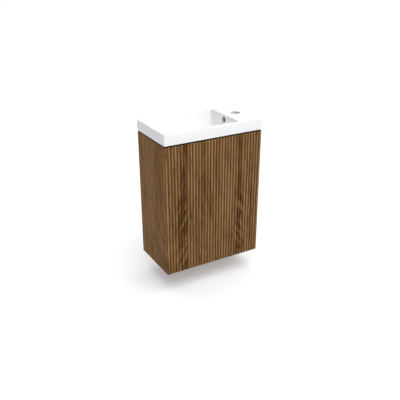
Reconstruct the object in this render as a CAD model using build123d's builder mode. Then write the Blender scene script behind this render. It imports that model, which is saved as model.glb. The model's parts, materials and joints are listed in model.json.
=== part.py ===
from build123d import *
import math
import os

# A wall-hung cloakroom vanity unit: a basin on a cabinet with one fluted, handleless door.
# Millimetres.  The origin is the centre of the basin's rear face, on the wall plane.
# +X is the user's right, +Y points into the wall and +Z is up.

os.makedirs("parts", exist_ok=True)

# Outside of the unit
basin_width = 400.0
basin_depth = 220.0
basin_rim_height = 40.0
cabinet_rise = 500.0
reveal = 2.0
shadow_gap = 5.5

# Basin
bowl_rim_left = 12.0
bowl_rim_front = 12.0
bowl_rim_back = 12.0
tap_deck_width = 96.0
bowl_depth = 90.0
bowl_wall = 8.0
bowl_run_left = 41.0
bowl_run_right = 4.0
bowl_run_front = 52.0
bowl_run_back = 28.0
bowl_mouth_corner = 9.0
bowl_floor_corner = 24.0
bowl_floor_round = 14.0
bowl_lip_round = 2.0
basin_corner_round = 3.0
basin_edge_round = 1.2
skirt_wall = 12.0
deck_thickness = 12.0
tap_hole_radius = 17.5
tap_from_right = 45.0
tap_from_front = 115.0
overflow_radius = 12.0
overflow_below_top = 20.0
duct_depth = 12.0
duct_width = 34.0
duct_wall = 5.0
duct_floor_height = 9.0
duct_top_wall = 8.0
waste_radius = 22.5
waste_from_right_wall = 38.0
waste_boss_radius = 31.0
waste_boss_drop = 18.0
waste_seat_radius = 33.0
waste_seat_depth = 2.0
foot_inset = 5.0
seal_thickness = 0.6
seal_margin = 0.5

# Cabinet boards
panel_thickness = 16.0
band_thickness = 0.8
bottom_setback = 26.0
rail_setback = 10.0
rail_height = 80.0
top_rail_rise = 325.0
shelf_rise = 226.0
shelf_front_setback = 14.0
shelf_depth = 118.0
shelf_side_play = 1.0

# Door
door_thickness = 20.0
door_gap = 3.5
flute_count = 33
flute_depth = 3.0
groove_width = 4.0

# Joint fittings
hardware_play = 0.1
end_play = 0.5
cam_radius = 7.4
cam_height = 12.0
cam_from_end = 24.0
cam_bolt_radius = 3.4
cam_bolt_thread_radius = 2.9
cam_bolt_thread_length = 10.0
cam_slot_width = 1.2
dowel_radius = 4.0
dowel_in_side = 10.0
dowel_in_board = 20.0
dowel_play = 0.05
bottom_cam_setback = 28.0
bottom_dowel_setback = 62.0
rail_dowel_offsets = (-26.0, 13.0)

# Shelf pins
pin_radius = 2.5
pin_length = 9.5
pin_reach = 7.0
pin_height = 6.0
pin_inset = 22.0
pin_pitch = 32.0
pin_rows = 5

# Wall hanger
plate_thickness = 2.5
plate_width = 50.0
plate_rise = 352.0
plate_lower_height = 24.0
plate_upper_height = 12.0
plate_offset = 5.5
plate_side_gap = 2.0
plate_hole_radius = 3.25
plate_hole_spacing = 25.0
plate_hole_rise = 11.0
hanger_rise = 345.0
hanger_height = 55.0
hanger_length = 40.0
hanger_thickness = 14.0
hanger_screw_shares = ((0.8, 0.16), (0.2, 0.45))
hanger_rail_gap = 0.4
hook_thickness = 3.0
hook_width = 9.6
hook_engagement = 24.0
hook_tip_drop = 9.0
hook_wall_gap = 1.5
hook_play = 0.2
rail_notch_width = 15.0
rail_notch_margin = 3.0
cover_thickness = 2.4
cover_lap = 1.6
adjuster_radius = 2.4
adjuster_length = 12.0
adjuster_pitch = 18.0
adjuster_recess = 3.4

# Door hinges
hinge_end_distance = 85.0
pivot_from_edge = 8.0
pivot_depth = 8.5
cup_from_edge = 20.5
cup_radius = 17.4
cup_depth = 13.0
cup_wall = 1.0
flange_thickness = 1.2
flange_radius = 19.0
ear_offset = 9.5
ear_spacing = 45.0
ear_radius = 6.5
hinge_pin_radius = 1.5
hinge_pin_length = 20.4
pin_seat_play = 0.03
knuckle_radius = 2.6
running_play = 0.05
finger_half = 1.3
arm_setback = 22.0
arm_thickness = 9.0
arm_height = 12.0
arm_length = 62.0
arm_corner_round = 2.0
mount_plate_thickness = 2.5
mount_plate_height = 46.0
mount_plate_width = 18.0
mount_screw_setback = 37.0
mount_screw_spacing = 32.0
arm_screw_pitch = 20.0
arm_cover_height = 3.2
arm_cover_wall = 0.8
arm_cover_length = 44.0

# Push latch
latch_rise = 300.0
latch_height = 14.0
latch_thickness = 14.0
latch_length = 76.0
latch_setback = 1.5
latch_edge_round = 0.5
latch_ear_height = 42.0
latch_ear_length = 18.0
latch_ear_thickness = 3.0
latch_ear_setback = 32.0
plunger_radius = 3.8
plunger_tip_radius = 5.0
plunger_tip_length = 2.0
plunger_length = 48.0
plunger_play = 0.08
plunger_gap = 0.3
latch_bore_length = 62.0
strike_size = 18.0
strike_thickness = 1.2
bumper_radius = 4.0
bumper_height = 2.0
bumper_inset = 8.0
bumper_end_distance = 20.0

# Screws: shank radius, length, head radius and head height
chipboard_screw = (1.9, 12.0, 3.4, 1.2)
panel_screw = (2.4, 12.0, 4.0, 1.6)
machine_screw = (1.9, 8.0, 3.0, 1.4)
strike_screw = (1.4, 8.0, 2.6, 0.9)
recess_width = 0.8
recess_depth = 0.7

# Levels and planes that follow from the sizes above
basin_top = basin_rim_height / 2
basin_under = -basin_rim_height / 2
cabinet_bottom = basin_under - cabinet_rise
cabinet_top = basin_under - shadow_gap
cabinet_half = basin_width / 2 - reveal
carcass_half = cabinet_half - panel_thickness
door_front = reveal - basin_depth
door_back = door_front + door_thickness
carcass_front = door_back + door_gap
board_front = carcass_front + band_thickness
rail_back = -rail_setback
rail_front = rail_back - panel_thickness
rail_middle = (rail_front + rail_back) / 2
bottom_middle = cabinet_bottom + panel_thickness / 2
rail_levels = {"bottom": cabinet_bottom, "top": cabinet_bottom + top_rail_rise}
shelf_under = cabinet_bottom + shelf_rise
shelf_front = carcass_front + shelf_front_setback
shelf_back = shelf_front + shelf_depth
bottom_back = -bottom_setback
sides = (("left", -1), ("right", 1))

# Bowl mouth, bowl floor and the places of its fittings
bowl_left = bowl_rim_left - basin_width / 2
bowl_right = basin_width / 2 - tap_deck_width
bowl_front = bowl_rim_front - basin_depth
bowl_back = -bowl_rim_back
bowl_floor = basin_top - bowl_depth
bowl_under = bowl_floor - bowl_wall
tap_x = basin_width / 2 - tap_from_right
tap_y = tap_from_front - basin_depth
waste_x = bowl_right - bowl_run_right - waste_from_right_wall
waste_y = (bowl_front + bowl_run_front + bowl_back - bowl_run_back) / 2
boss_under = bowl_under - waste_boss_drop
duct_left = bowl_right + bowl_wall
duct_right = duct_left + duct_depth

# Hinge line
pivot_x = cabinet_half - pivot_from_edge
pivot_y = door_back - pivot_depth
cup_x = cabinet_half - cup_from_edge
hinge_levels = {
    "bottom": cabinet_bottom + hinge_end_distance,
    "top": cabinet_top - hinge_end_distance,
}
arm_outer = cabinet_half - arm_setback
arm_inner = arm_outer - arm_thickness
arm_back = pivot_y + arm_length + pivot_depth
mount_screw_y = carcass_front + mount_screw_setback
latch_level = cabinet_bottom + latch_rise
latch_x = -carcass_half + latch_thickness / 2
latch_front = carcass_front + latch_setback

on_base = (Align.CENTER, Align.CENTER, Align.MIN)


def facing(points, direction):
    """Planes at the points, with their normals along the direction."""
    return [Plane(origin=point, z_dir=direction) for point in points]


def block(low, high, mode=Mode.ADD):
    """A rectangular block between two opposite corners, in the part being built."""
    spans = [abs(b - a) for a, b in zip(low, high)]
    centre = tuple((a + b) / 2 for a, b in zip(low, high))
    with Locations(centre):
        Box(*spans, mode=mode)


def rods(points, direction, radius, length, mode=Mode.ADD):
    """Round bars of one size that start at the points and run along the direction."""
    with Locations(*facing(points, direction)):
        Cylinder(radius, length, align=on_base, mode=mode)


def bores(points, outward, radius, depth):
    """Blind bores into the faces at the points; outward is the faces' normal."""
    with Locations(*facing(points, outward)):
        Hole(radius, depth)


def screws(points, outward, size):
    """Pan-head screws with crossed recesses, driven into the faces at the points."""
    shank_radius, length, head_radius, head_height = size
    inward = tuple(-value for value in outward)
    rods(points, inward, shank_radius, length)
    rods(points, outward, head_radius, head_height)
    tops = [Vector(*point) + Vector(*outward) * head_height for point in points]
    with Locations(*facing(tops, inward)):
        Box(head_radius, recess_width, recess_depth, align=on_base, mode=Mode.SUBTRACT)
        Box(recess_width, head_radius, recess_depth, align=on_base, mode=Mode.SUBTRACT)


def save(builder, name):
    """Label a finished piece and write it to its own file."""
    builder.part.label = name
    export_step(builder.part, f"parts/{name}.step")


def bottom_joint_points(side, cams):
    """Joints between a side panel and the bottom panel, on the side panel's inner face."""
    inset = bottom_cam_setback if cams else bottom_dowel_setback
    depths = (board_front + inset, bottom_back - inset)
    return [(side * carcass_half, depth, bottom_middle) for depth in depths]


def rail_joint_points(side, cams):
    """Joints between a side panel and the back rails, on the side panel's inner face."""
    spreads = (0.0,) if cams else rail_dowel_offsets
    middles = [level + rail_height / 2 for level in rail_levels.values()]
    return [
        (side * carcass_half, rail_middle, middle + spread) for middle in middles for spread in spreads
    ]


def shelf_pin_points(side, every_row):
    """Shelf pin bores on a side panel's inner face, or only the row that is in use."""
    rows = range(pin_rows) if every_row else (pin_rows // 2,)
    depths = (shelf_front + pin_inset, shelf_back - pin_inset)
    pin_level = shelf_under - pin_height / 2
    lift = [(row - pin_rows // 2) * pin_pitch for row in rows]
    return [(side * carcass_half, depth, pin_level + rise) for depth in depths for rise in lift]


def hinge_screw_points():
    """Screws of the two hinge mounting plates, on the right panel's inner face."""
    spread = mount_screw_spacing / 2
    return [
        (carcass_half, mount_screw_y, level + offset)
        for level in hinge_levels.values()
        for offset in (-spread, spread)
    ]


def latch_screw_points():
    """Screws of the push latch, on the left panel's inner face."""
    spread = (latch_ear_height + latch_height) / 4
    ear_middle = latch_front + latch_ear_setback + latch_ear_length / 2
    return [(-carcass_half, ear_middle, latch_level + offset) for offset in (-spread, spread)]


def hanger_screw_points(side):
    """Screws of one wall hanger, on the side panel's inner face."""
    low = cabinet_bottom + hanger_rise
    back = rail_front - hanger_rail_gap
    return [
        (side * carcass_half, back - hanger_length * along, low + hanger_height * up)
        for along, up in hanger_screw_shares
    ]


def moved(points, side, distance):
    """The points moved from a side panel's inner face towards the middle of the unit."""
    return [(x - side * distance, y, z) for x, y, z in points]


def basin_piece():
    """The basin: a thin-skirted rim, a drafted bowl, a tap deck and an overflow duct."""
    mouth_middle = ((bowl_left + bowl_right) / 2, (bowl_front + bowl_back) / 2)
    mouth_size = (bowl_right - bowl_left, bowl_back - bowl_front)
    floor_middle = (
        mouth_middle[0] + (bowl_run_left - bowl_run_right) / 2,
        mouth_middle[1] + (bowl_run_front - bowl_run_back) / 2,
    )
    floor_size = (
        mouth_size[0] - bowl_run_left - bowl_run_right,
        mouth_size[1] - bowl_run_front - bowl_run_back,
    )
    shell_floor_size = [size + 2 * bowl_wall for size in floor_size]
    shell_mouth_size = [size + 2 * bowl_wall for size in mouth_size]
    with BuildPart() as bowl_space:
        with BuildSketch(Plane.XY.offset(bowl_floor)):
            with Locations(floor_middle):
                RectangleRounded(*floor_size, bowl_floor_corner)
        with BuildSketch(Plane.XY.offset(basin_top)):
            with Locations(mouth_middle):
                RectangleRounded(*mouth_size, bowl_mouth_corner)
        loft()
        fillet(bowl_space.faces().sort_by(Axis.Z)[0].edges(), bowl_floor_round)
    with BuildPart() as bowl_shell:
        with BuildSketch(Plane.XY.offset(bowl_under)):
            with Locations(floor_middle):
                RectangleRounded(*shell_floor_size, bowl_floor_corner + bowl_wall)
        with BuildSketch(Plane.XY.offset(basin_top - basin_edge_round)):
            with Locations(mouth_middle):
                RectangleRounded(*shell_mouth_size, bowl_mouth_corner + bowl_wall)
        loft()
        fillet(bowl_shell.faces().sort_by(Axis.Z)[0].edges(), bowl_floor_round)
    with BuildPart() as basin:
        with BuildSketch(Plane.XY.offset(basin_under)):
            with Locations((0, -basin_depth / 2)):
                RectangleRounded(basin_width, basin_depth, basin_corner_round)
        extrude(amount=basin_rim_height)
        fillet(basin.faces().sort_by(Axis.Z)[-1].edges(), basin_edge_round)
        pocket_half = basin_width / 2 - skirt_wall
        pocket_roof = basin_top - deck_thickness
        block(
            (-pocket_half, skirt_wall - basin_depth, basin_under),
            (pocket_half, -skirt_wall, pocket_roof),
            Mode.SUBTRACT,
        )
        add(bowl_shell.part)
        rods([(waste_x, waste_y, boss_under)], (0, 0, 1), waste_boss_radius, bowl_floor - boss_under)
        half_duct = duct_width / 2 + duct_wall
        block(
            (waste_x, tap_y - half_duct, boss_under),
            (duct_right + duct_wall, tap_y + half_duct, bowl_floor - bowl_floor_round),
        )
        block(
            (bowl_right, tap_y - half_duct, boss_under),
            (duct_right + duct_wall, tap_y + half_duct, pocket_roof + duct_wall),
        )
        for side in (-1, 1):
            block(
                (side * (basin_width / 2 - foot_inset), board_front, cabinet_top + seal_thickness),
                (side * pocket_half, 0, basin_under),
            )
        add(bowl_space.part, mode=Mode.SUBTRACT)
        fillet(basin.faces().sort_by(Axis.Z)[-1].inner_wires()[0].edges(), bowl_lip_round)
        block(
            (duct_left, tap_y - duct_width / 2, boss_under + duct_wall),
            (duct_right, tap_y + duct_width / 2, basin_top - duct_top_wall),
            Mode.SUBTRACT,
        )
        block(
            (waste_x, tap_y - duct_width / 4, boss_under + duct_wall),
            (duct_right, tap_y + duct_width / 4, boss_under + duct_wall + duct_floor_height),
            Mode.SUBTRACT,
        )
        overflow_points = [(bowl_right - bowl_wall, tap_y, basin_top - overflow_below_top)]
        rods(overflow_points, (1, 0, 0), overflow_radius, 2 * bowl_wall + duct_depth / 2, Mode.SUBTRACT)
        bores([(tap_x, tap_y, basin_top)], (0, 0, 1), tap_hole_radius, 2 * deck_thickness)
        waste_point = [(waste_x, waste_y, bowl_floor)]
        bores(waste_point, (0, 0, 1), waste_seat_radius, waste_seat_depth)
        bores(waste_point, (0, 0, 1), waste_radius, bowl_floor - boss_under)
    save(basin, "basin")


def basin_seal_piece():
    """Two beads of sealant between the basin's feet and the side panels' top edges."""
    outer = basin_width / 2 - foot_inset - seal_margin
    inner = basin_width / 2 - skirt_wall + seal_margin
    with BuildPart() as basin_seal:
        for side in (-1, 1):
            block(
                (side * outer, board_front + seal_margin, cabinet_top),
                (side * inner, -seal_margin, cabinet_top + seal_thickness),
            )
    save(basin_seal, "basin_seal")


def side_panel_piece(side_name, side):
    """A side panel, bored on its inner face for everything that it carries."""
    outward = (-side, 0, 0)
    screw_points = list(hanger_screw_points(side))
    if side > 0:
        screw_points += hinge_screw_points()
    else:
        screw_points += latch_screw_points()
    with BuildPart() as side_panel:
        block((side * carcass_half, board_front, cabinet_bottom), (side * cabinet_half, 0, cabinet_top))
        cam_points = bottom_joint_points(side, True) + rail_joint_points(side, True)
        bores(cam_points, outward, cam_bolt_thread_radius + hardware_play, cam_bolt_thread_length + end_play)
        dowel_points = bottom_joint_points(side, False) + rail_joint_points(side, False)
        bores(dowel_points, outward, dowel_radius + dowel_play, dowel_in_side + end_play)
        bores(shelf_pin_points(side, True), outward, pin_radius + hardware_play, pin_length + end_play)
        bores(screw_points, outward, panel_screw[0] + hardware_play, panel_screw[1] + end_play)
    save(side_panel, f"side_panel_{side_name}")


def cam_pockets(points, outward, side):
    """Pockets for the cam locks and the cam bolts' bores, in one end of a board."""
    bores(points, outward, cam_radius + hardware_play, cam_height + end_play)
    to_middle = Vector(*outward) * (-panel_thickness / 2)
    middles = [Vector(*point) + to_middle for point in points]
    ends = [(side * carcass_half, middle.Y, middle.Z) for middle in middles]
    bores(ends, (side, 0, 0), cam_bolt_radius + hardware_play, cam_from_end)


def bottom_cam_points(side):
    """Cam locks of the bottom panel, bored from its underside."""
    return [
        (side * (carcass_half - cam_from_end), y, cabinet_bottom)
        for x, y, z in bottom_joint_points(side, True)
    ]


def rail_cam_points(side, level):
    """Cam locks of one back rail, bored from its rear face."""
    return [(side * (carcass_half - cam_from_end), rail_back, level + rail_height / 2)]


def bottom_panel_piece():
    """The bottom panel, between the sides."""
    with BuildPart() as bottom_panel:
        block(
            (-carcass_half, board_front, cabinet_bottom),
            (carcass_half, bottom_back, cabinet_bottom + panel_thickness),
        )
        for side_name, side in sides:
            cam_pockets(bottom_cam_points(side), (0, 0, -1), side)
            dowel_ends = bottom_joint_points(side, False)
            bores(dowel_ends, (side, 0, 0), dowel_radius + dowel_play, dowel_in_board + end_play)
    save(bottom_panel, "bottom_panel")


def back_rail_piece(rail_name, level):
    """A back rail; the top one is notched at its ends for the hanger hooks."""
    hook_under = cabinet_bottom + plate_rise + plate_lower_height + plate_upper_height
    with BuildPart() as back_rail:
        block((-carcass_half, rail_front, level), (carcass_half, rail_back, level + rail_height))
        for side_name, side in sides:
            cam_pockets(rail_cam_points(side, level), (0, 1, 0), side)
            middle = level + rail_height / 2
            all_ends = rail_joint_points(side, False)
            dowel_ends = [point for point in all_ends if abs(point[2] - middle) < rail_height / 2]
            bores(dowel_ends, (side, 0, 0), dowel_radius + dowel_play, dowel_in_board + end_play)
            if rail_name == "top":
                block(
                    (side * (carcass_half - rail_notch_width), rail_front, hook_under - rail_notch_margin),
                    (side * carcass_half, rail_back, hook_under + hook_thickness + rail_notch_margin),
                    Mode.SUBTRACT,
                )
    save(back_rail, f"back_rail_{rail_name}")


def edge_bands_piece():
    """Edge bands on the front edges of the two sides and the bottom panel."""
    with BuildPart() as edge_bands:
        for side_name, side in sides:
            block(
                (side * carcass_half, carcass_front, cabinet_bottom),
                (side * cabinet_half, board_front, cabinet_top),
            )
        block(
            (-carcass_half, carcass_front, cabinet_bottom),
            (carcass_half, board_front, cabinet_bottom + panel_thickness),
        )
    save(edge_bands, "edge_bands")


def cam_pieces():
    """Cam locks, their bolts and the dowels beside them."""
    bolt_reach = cam_from_end - 2 * cam_slot_width
    with BuildPart() as cam_locks:
        for side_name, side in sides:
            rods(bottom_cam_points(side), (0, 0, 1), cam_radius, cam_height)
            for level in rail_levels.values():
                rods(rail_cam_points(side, level), (0, -1, 0), cam_radius, cam_height)
            ends = bottom_joint_points(side, True) + rail_joint_points(side, True)
            rods(ends, (-side, 0, 0), cam_bolt_radius + hardware_play, cam_from_end, Mode.SUBTRACT)
            with Locations(*bottom_cam_points(side)):
                Box(cam_radius, cam_slot_width, 2 * cam_slot_width, mode=Mode.SUBTRACT)
            backs = [point for level in rail_levels.values() for point in rail_cam_points(side, level)]
            with Locations(*backs):
                Box(cam_radius, 2 * cam_slot_width, cam_slot_width, mode=Mode.SUBTRACT)
    save(cam_locks, "cam_locks")
    with BuildPart() as cam_bolts:
        for side_name, side in sides:
            ends = bottom_joint_points(side, True) + rail_joint_points(side, True)
            rods(ends, (-side, 0, 0), cam_bolt_radius, bolt_reach)
            rods(ends, (side, 0, 0), cam_bolt_thread_radius, cam_bolt_thread_length)
    save(cam_bolts, "cam_bolts")
    with BuildPart() as dowels:
        for side_name, side in sides:
            ends = bottom_joint_points(side, False) + rail_joint_points(side, False)
            rods(ends, (side, 0, 0), dowel_radius, dowel_in_side)
            rods(ends, (-side, 0, 0), dowel_radius, dowel_in_board)
    save(dowels, "dowels")


def shelf_pieces():
    """The shelf, short of the wall to clear the pipes, and its four pins."""
    half = carcass_half - shelf_side_play
    with BuildPart() as shelf:
        block((-half, shelf_front, shelf_under), (half, shelf_back, shelf_under + panel_thickness))
    save(shelf, "shelf")
    with BuildPart() as shelf_pins:
        for side_name, side in sides:
            points = shelf_pin_points(side, False)
            rods(points, (side, 0, 0), pin_radius, pin_length)
            with Locations(*facing(points, (-side, 0, 0))):
                Box(pin_height, pin_height, pin_reach, align=on_base)
    save(shelf_pins, "shelf_pins")


def wall_plate_piece(side_name, side):
    """A joggled steel plate that is screwed to the wall and takes the hanger's hook."""
    outer = side * (carcass_half - plate_side_gap)
    inner = outer - side * plate_width
    low = cabinet_bottom + plate_rise
    joggle = low + plate_lower_height
    top = joggle + plate_upper_height
    front = -plate_offset - plate_thickness
    middle = (outer + inner) / 2
    hole_level = low + plate_hole_rise
    with BuildPart() as wall_plate:
        block((outer, -plate_thickness, low), (inner, 0, joggle))
        block((outer, front, joggle - plate_thickness), (inner, 0, joggle))
        block((outer, front, joggle), (inner, -plate_offset, top))
        spread = plate_hole_spacing / 2
        hole_points = [(middle + offset, -plate_thickness, hole_level) for offset in (-spread, spread)]
        bores(hole_points, (0, -1, 0), plate_hole_radius, plate_thickness)
    save(wall_plate, f"wall_plate_{side_name}")


def hanger_pieces(side_name, side):
    """One adjustable wall hanger: its body, hook and cover."""
    hook_under = cabinet_bottom + plate_rise + plate_lower_height + plate_upper_height
    hook_middle = side * (carcass_half - hanger_thickness / 2)
    back = rail_front - hanger_rail_gap
    front = back - hanger_length
    low = cabinet_bottom + hanger_rise
    inner = side * (carcass_half - hanger_thickness)
    inside = (-side, 0, 0)
    screw_faces = moved(hanger_screw_points(side), side, hanger_thickness)
    adjuster_middle = low + hanger_height / 2
    adjuster_points = [
        (hook_middle, front, adjuster_middle + offset) for offset in (-adjuster_pitch / 2, adjuster_pitch / 2)
    ]
    half_slot = hook_width / 2 + hook_play
    half_hook = hook_width / 2
    with BuildPart() as hanger_body:
        block((side * carcass_half, front, low), (inner, back, low + hanger_height))
        block(
            (hook_middle - half_slot, back - hook_engagement - hook_play, hook_under - hook_play),
            (hook_middle + half_slot, back, hook_under + hook_thickness + hook_play),
            Mode.SUBTRACT,
        )
        bores(screw_faces, inside, panel_screw[0] + hardware_play, hanger_thickness)
        bores(screw_faces, inside, panel_screw[2] + hardware_play, panel_screw[3] + hardware_play)
        bores(adjuster_points, (0, -1, 0), adjuster_radius + hardware_play, adjuster_length)
    save(hanger_body, f"hanger_body_{side_name}")
    with BuildPart() as hanger_hook:
        block(
            (hook_middle - half_hook, back - hook_engagement, hook_under),
            (hook_middle + half_hook, -hook_wall_gap, hook_under + hook_thickness),
        )
        block(
            (hook_middle - half_hook, -hook_wall_gap - hook_thickness, hook_under - hook_tip_drop),
            (hook_middle + half_hook, -hook_wall_gap, hook_under),
        )
    save(hanger_hook, f"hanger_hook_{side_name}")
    with BuildPart() as hanger_cover:
        block(
            (inner, front - cover_lap, low - cover_lap),
            (inner - side * cover_thickness, back, low + hanger_height + cover_lap),
        )
        face = hanger_cover.faces().sort_by(Axis.X)[0 if side > 0 else -1]
        fillet(face.edges(), cover_lap)
    save(hanger_cover, f"hanger_cover_{side_name}")
    return adjuster_points, screw_faces


def hanger_fastener_pieces(adjuster_points, screw_faces):
    """The hangers' adjusting screws and the screws that hold the bodies to the sides."""
    with BuildPart() as hanger_adjusters:
        rods(adjuster_points, (0, 1, 0), adjuster_radius, adjuster_length)
        with Locations(*adjuster_points):
            Box(adjuster_recess, 2 * recess_depth, recess_width, mode=Mode.SUBTRACT)
            Box(recess_width, 2 * recess_depth, adjuster_recess, mode=Mode.SUBTRACT)
    save(hanger_adjusters, "hanger_adjusters")
    shank, length, head_radius, head_height = panel_screw
    long_screw = (shank, length + hanger_thickness - head_height, head_radius, head_height)
    with BuildPart() as hanger_screws:
        for side_name, side in sides:
            heads = [point for point in screw_faces if point[0] * side > 0]
            seats = moved(heads, side, -head_height)
            screws(seats, (-side, 0, 0), long_screw)
    save(hanger_screws, "hanger_screws")


def door_piece():
    """The door: rounded reeds with rounded grooves between them, bored for its hinges."""
    pitch = 2 * cabinet_half / flute_count
    reed_width = pitch - groove_width
    groove_floor = door_front + flute_depth
    groove_sag = flute_depth * groove_width / pitch
    shoulder = groove_floor - groove_sag
    groove_radius = (groove_width**2 / 4 + groove_sag**2) / (2 * groove_sag)
    quarter = groove_width / 4
    quarter_level = groove_floor - groove_radius + math.sqrt(groove_radius**2 - quarter**2)
    with BuildPart() as door_panel:
        with BuildSketch(Plane.XY.offset(cabinet_bottom)):
            with BuildLine():
                Polyline(
                    (-cabinet_half, groove_floor),
                    (-cabinet_half, door_back),
                    (cabinet_half, door_back),
                    (cabinet_half, groove_floor),
                )
                left_end = -cabinet_half + groove_width / 2
                right_end = cabinet_half - groove_width / 2
                ThreePointArc(
                    (-cabinet_half, groove_floor),
                    (-cabinet_half + quarter, quarter_level),
                    (left_end, shoulder),
                )
                for index in range(flute_count):
                    start = left_end + index * pitch
                    crest = (start + reed_width / 2, door_front)
                    ThreePointArc((start, shoulder), crest, (start + reed_width, shoulder))
                    if index < flute_count - 1:
                        ThreePointArc(
                            (start + reed_width, shoulder),
                            (start + reed_width + groove_width / 2, groove_floor),
                            (start + pitch, shoulder),
                        )
                ThreePointArc(
                    (right_end, shoulder),
                    (cabinet_half - quarter, quarter_level),
                    (cabinet_half, groove_floor),
                )
            make_face()
        extrude(amount=cabinet_top - cabinet_bottom)
        cup_points = [(cup_x, door_back, level) for level in hinge_levels.values()]
        bores(cup_points, (0, 1, 0), cup_radius + hardware_play, cup_depth + hardware_play)
        ear_points = []
        for level in hinge_levels.values():
            ear_points += cup_screw_points(level, door_back)
        bores(ear_points, (0, 1, 0), chipboard_screw[0] + hardware_play, chipboard_screw[1] + end_play)
        strike_point = [(latch_x, door_back, latch_level)]
        bores(strike_point, (0, 1, 0), strike_screw[0] + hardware_play, strike_screw[1] + end_play)
    save(door_panel, "door_panel")


def cup_screw_points(level, y):
    """The two screws of one hinge cup, at the given depth."""
    return [(cup_x - ear_offset, y, level + offset) for offset in (-ear_spacing / 2, ear_spacing / 2)]


def hinge_cup_piece(hinge_name, level):
    """A pressed hinge cup with its flange and screw ears."""
    with BuildPart() as hinge_cup:
        with BuildSketch(Plane.XZ.offset(-door_back)):
            with Locations((cup_x, level)):
                Circle(cup_radius)
        extrude(amount=cup_depth)
        with BuildSketch(Plane.XZ.offset(-door_back)):
            with Locations((cup_x, level)):
                Circle(flange_radius)
            with Locations((cup_x - ear_offset, level)):
                SlotCenterToCenter(ear_spacing, 2 * ear_radius, rotation=90)
        extrude(amount=-flange_thickness)
        mouth = door_back + flange_thickness
        inner_depth = flange_thickness + cup_depth - cup_wall
        bores([(cup_x, mouth, level)], (0, 1, 0), cup_radius - cup_wall, inner_depth)
        bores(cup_screw_points(level, mouth), (0, 1, 0), chipboard_screw[0] + hardware_play, flange_thickness)
        pin_foot = [(pivot_x, pivot_y, level - hinge_pin_length / 2)]
        rods(pin_foot, (0, 0, 1), hinge_pin_radius + pin_seat_play, hinge_pin_length, Mode.SUBTRACT)
    save(hinge_cup, f"hinge_cup_{hinge_name}")


def hinge_pin_piece(hinge_name, level):
    """The pin across a hinge cup, which the arm's knuckle turns on."""
    with BuildPart() as hinge_pin:
        foot = [(pivot_x, pivot_y, level - hinge_pin_length / 2)]
        rods(foot, (0, 0, 1), hinge_pin_radius, hinge_pin_length)
    save(hinge_pin, f"hinge_pin_{hinge_name}")


def hinge_arm_piece(hinge_name, level):
    """A cranked hinge arm: knuckle and finger in the cup, then back along the side panel."""
    with BuildPart() as hinge_arm:
        with BuildSketch(Plane.XY.offset(level - arm_height / 2)) as arm_profile:
            with BuildLine():
                Polyline(
                    (pivot_x, pivot_y + finger_half),
                    (arm_outer, pivot_y + finger_half),
                    (arm_outer, arm_back),
                    (arm_inner, arm_back),
                    (arm_inner, pivot_y - finger_half),
                    (pivot_x, pivot_y - finger_half),
                    close=True,
                )
            make_face()
            inner_corners = arm_profile.vertices().group_by(Axis.X)[0]
            fillet(inner_corners, arm_corner_round)
        extrude(amount=arm_height)
        pin_foot = [(pivot_x, pivot_y, level - arm_height / 2)]
        rods(pin_foot, (0, 0, 1), knuckle_radius, arm_height)
        rods(pin_foot, (0, 0, 1), hinge_pin_radius + running_play, arm_height, Mode.SUBTRACT)
        screw_faces = arm_screw_points(level)
        bores(screw_faces, (-1, 0, 0), machine_screw[0] + hardware_play, arm_thickness)
    save(hinge_arm, f"hinge_arm_{hinge_name}")


def arm_screw_points(level):
    """The fixing screw and the depth screw of one hinge arm, on its inner face."""
    return [
        (arm_inner, mount_screw_y + offset, level) for offset in (-arm_screw_pitch / 2, arm_screw_pitch / 2)
    ]


def hinge_plate_piece(hinge_name, level):
    """A winged mounting plate with the raised rail that the arm sits on."""
    half_width = mount_plate_width / 2
    half_height = mount_plate_height / 2
    wing_face = carcass_half - mount_plate_thickness
    rail_half = arm_height / 2
    with BuildPart() as hinge_plate:
        with BuildSketch(Plane.YZ.offset(wing_face)):
            with Locations((mount_screw_y, level)):
                RectangleRounded(2 * half_width, 2 * half_height, half_width / 2)
        extrude(amount=mount_plate_thickness)
        block(
            (wing_face, mount_screw_y - arm_screw_pitch, level - rail_half),
            (arm_outer, arm_back, level + rail_half),
        )
        wing_points = [
            (wing_face, mount_screw_y, level + offset)
            for offset in (-mount_screw_spacing / 2, mount_screw_spacing / 2)
        ]
        bores(wing_points, (-1, 0, 0), panel_screw[0] + hardware_play, mount_plate_thickness)
        rail_points = [(arm_outer, y, z) for x, y, z in arm_screw_points(level)]
        bores(rail_points, (-1, 0, 0), machine_screw[0] + hardware_play, wing_face - arm_outer)
    save(hinge_plate, f"hinge_plate_{hinge_name}")


def hinge_cover_piece(hinge_name, level):
    """A clip-on cap over the hinge arm's screws."""
    half_height = arm_height / 2
    middle = mount_screw_y
    half_length = arm_cover_length / 2
    face = arm_inner - arm_cover_height
    room_half_height = half_height - arm_cover_wall
    room_half_length = half_length - arm_cover_wall
    with BuildPart() as hinge_cover:
        block(
            (face, middle - half_length, level - half_height),
            (arm_inner, middle + half_length, level + half_height),
        )
        fillet(hinge_cover.faces().sort_by(Axis.X)[0].edges(), arm_cover_wall)
        block(
            (face + arm_cover_wall, middle - room_half_length, level - room_half_height),
            (arm_inner, middle + room_half_length, level + room_half_height),
            Mode.SUBTRACT,
        )
    save(hinge_cover, f"hinge_cover_{hinge_name}")


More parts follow.
